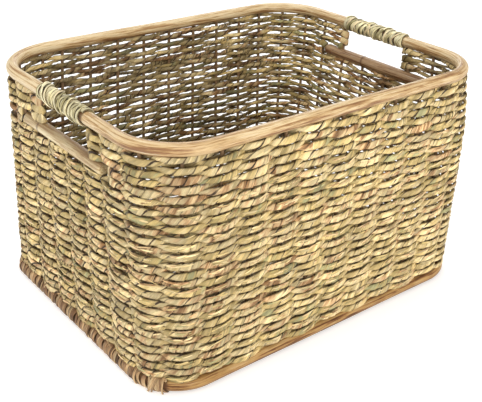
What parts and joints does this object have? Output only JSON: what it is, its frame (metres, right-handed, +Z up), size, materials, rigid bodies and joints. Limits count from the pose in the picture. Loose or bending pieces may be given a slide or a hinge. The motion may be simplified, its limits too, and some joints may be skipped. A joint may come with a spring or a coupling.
{
  "type": "storage basket",
  "caption": "Rectangular woven storage basket with rounded corners, a round cane rim, a wrapped hand hold over an opening in each short side, and a flat floor.",
  "frame": {"origin": "centre of the floor's underside, which is the plane the basket stands on", "axes": "+Z up, X along the long side, Y along the short side; the hand holds are in the two short sides"},
  "size_m": [0.4784, 0.366, 0.2826],
  "materials": {
    "rattan": "satin peeled cane",
    "base_cane": "satin orange-brown cane",
    "seagrass": "matte dried twisted leaf",
    "floor_seagrass": "matte dried twisted leaf",
    "straw_wrap": "satin pale straw",
    "brown_wrap": "matte brown dried leaf",
    "stake_cane": "matte dark cane"
  },
  "bodies": {
    "root": {"rim_hoop": "rattan", "base_hoop": "base_cane", "handle_bar_left": "rattan", "handle_bar_right": "rattan", "handle_wrap_left": "straw_wrap", "handle_wrap_right": "straw_wrap", "base_wrap_left": "brown_wrap", "base_wrap_right": "brown_wrap", "floor": "floor_seagrass", "weave_front": "seagrass", "weave_corner_front_right": "seagrass", "weave_right": "seagrass", "weave_corner_back_right": "seagrass", "weave_back": "seagrass", "weave_corner_back_left": "seagrass", "weave_left": "seagrass", "weave_corner_front_left": "seagrass", "stake_front_1": "stake_cane", "stake_front_2": "stake_cane", "stake_front_3": "stake_cane", "stake_front_4": "stake_cane", "stake_front_5": "stake_cane", "stake_front_6": "stake_cane", "stake_front_7": "stake_cane", "stake_front_8": "stake_cane", "stake_front_9": "stake_cane", "stake_corner_front_right_1": "stake_cane", "stake_corner_front_right_2": "stake_cane", "stake_right_1": "stake_cane", "stake_right_2": "stake_cane", "stake_right_3": "stake_cane", "stake_right_4": "stake_cane", "stake_right_5": "stake_cane", "stake_right_6": "stake_cane", "stake_corner_back_right_1": "stake_cane", "stake_corner_back_right_2": "stake_cane", "stake_corner_back_right_3": "stake_cane", "stake_back_1": "stake_cane", "stake_back_2": "stake_cane", "stake_back_3": "stake_cane", "stake_back_4": "stake_cane", "stake_back_5": "stake_cane", "stake_back_6": "stake_cane", "stake_back_7": "stake_cane", "stake_back_8": "stake_cane", "stake_corner_back_left_1": "stake_cane", "stake_corner_back_left_2": "stake_cane", "stake_corner_back_left_3": "stake_cane", "stake_left_1": "stake_cane", "stake_left_2": "stake_cane", "stake_left_3": "stake_cane", "stake_left_4": "stake_cane", "stake_left_5": "stake_cane", "stake_left_6": "stake_cane", "stake_corner_front_left_1": "stake_cane", "stake_corner_front_left_2": "stake_cane"}
  },
  "joints": []
}
